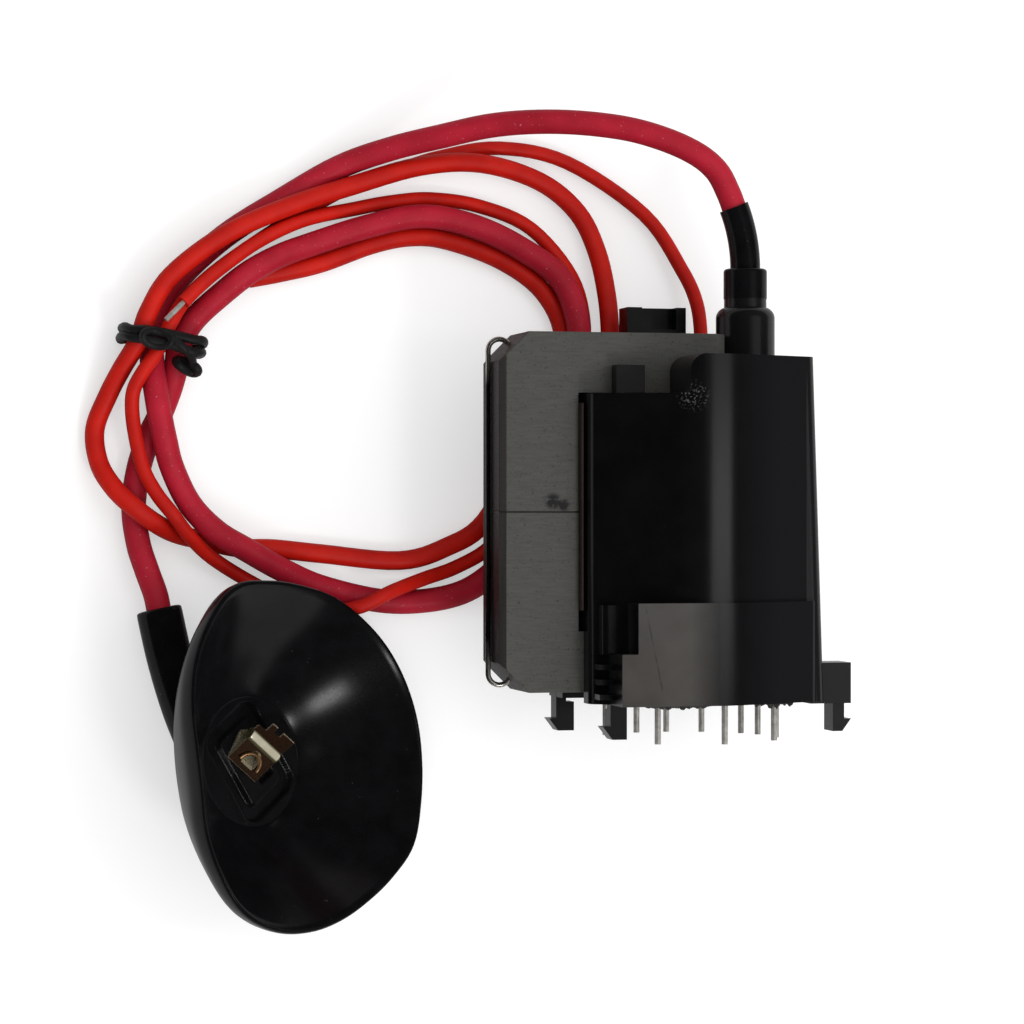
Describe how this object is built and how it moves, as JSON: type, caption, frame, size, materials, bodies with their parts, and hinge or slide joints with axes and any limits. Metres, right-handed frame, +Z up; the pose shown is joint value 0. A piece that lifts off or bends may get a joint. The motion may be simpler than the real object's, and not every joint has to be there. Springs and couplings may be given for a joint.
{
  "type": "flyback transformer",
  "caption": "Potted high-voltage line output transformer with a ferrite core, screwdriver adjusters, terminal pins and coiled leads, the thick one ending in a rubber anode cup.",
  "frame": {"origin": "on the focus pack's flat back face, under the inner leg's axis, at the plane where the core halves meet", "axes": "+Z up from the face that it lies on, +Y from the terminal pins towards the high-voltage outlet, +X from the core's outer leg towards the case"},
  "size_m": [0.1424, 0.1569, 0.0528],
  "materials": {
    "case_plastic": "satin",
    "resin": "matte",
    "ferrite": "ground",
    "film": "satin",
    "spring_wire": "drawn",
    "brown_sheet": "matte",
    "bobbin_plastic": "satin",
    "copper_wire": "enamelled",
    "diode_body": "matte",
    "tinned_wire": "tinned",
    "ceramic": "matte",
    "knob_plastic": "satin",
    "contact_brass": "drawn",
    "black_rubber": "satin",
    "crimson_insulation": "satin",
    "orange_insulation": "satin",
    "clip_metal": "bright",
    "tie_plastic": "matte"
  },
  "bodies": {
    "housing": {"case": "case_plastic", "potting_resin": "resin", "upper_core": "ferrite", "lower_core": "ferrite", "outer_gap_film": "film", "inner_gap_film": "film", "core_clip": "spring_wire", "insulation_sheet": "brown_sheet", "primary_bobbin": "bobbin_plastic", "primary_winding": "copper_wire", "secondary_bobbin": "bobbin_plastic", "secondary_winding": "copper_wire", "rectifier_diodes": "diode_body", "terminal_pins": "tinned_wire", "focus_pack_cover": "case_plastic", "resistor_board": "ceramic", "lead_collar": "black_rubber", "lead_sleeve": "black_rubber", "anode_lead": "crimson_insulation", "focus_lead": "orange_insulation", "screen_lead": "orange_insulation", "focus_lead_tip": "tinned_wire", "screen_lead_tip": "tinned_wire", "anode_cap": "black_rubber", "anode_clip": "clip_metal", "clip_spring": "contact_brass", "twist_tie": "tie_plastic"},
    "focus_adjuster": {"focus_knob": "knob_plastic", "focus_wiper": "contact_brass"},
    "screen_adjuster": {"screen_knob": "knob_plastic", "screen_wiper": "contact_brass"}
  },
  "joints": [
    {"name": "focus_turn", "type": "hinge", "parent": "housing", "child": "focus_adjuster", "pos_m": [0.0045, 0.013, 0], "axis": [0, 0, 1], "range_deg": [-140, 140]},
    {"name": "screen_turn", "type": "hinge", "parent": "housing", "child": "screen_adjuster", "pos_m": [0.0045, -0.013, 0], "axis": [0, 0, 1], "range_deg": [-140, 140]}
  ]
}
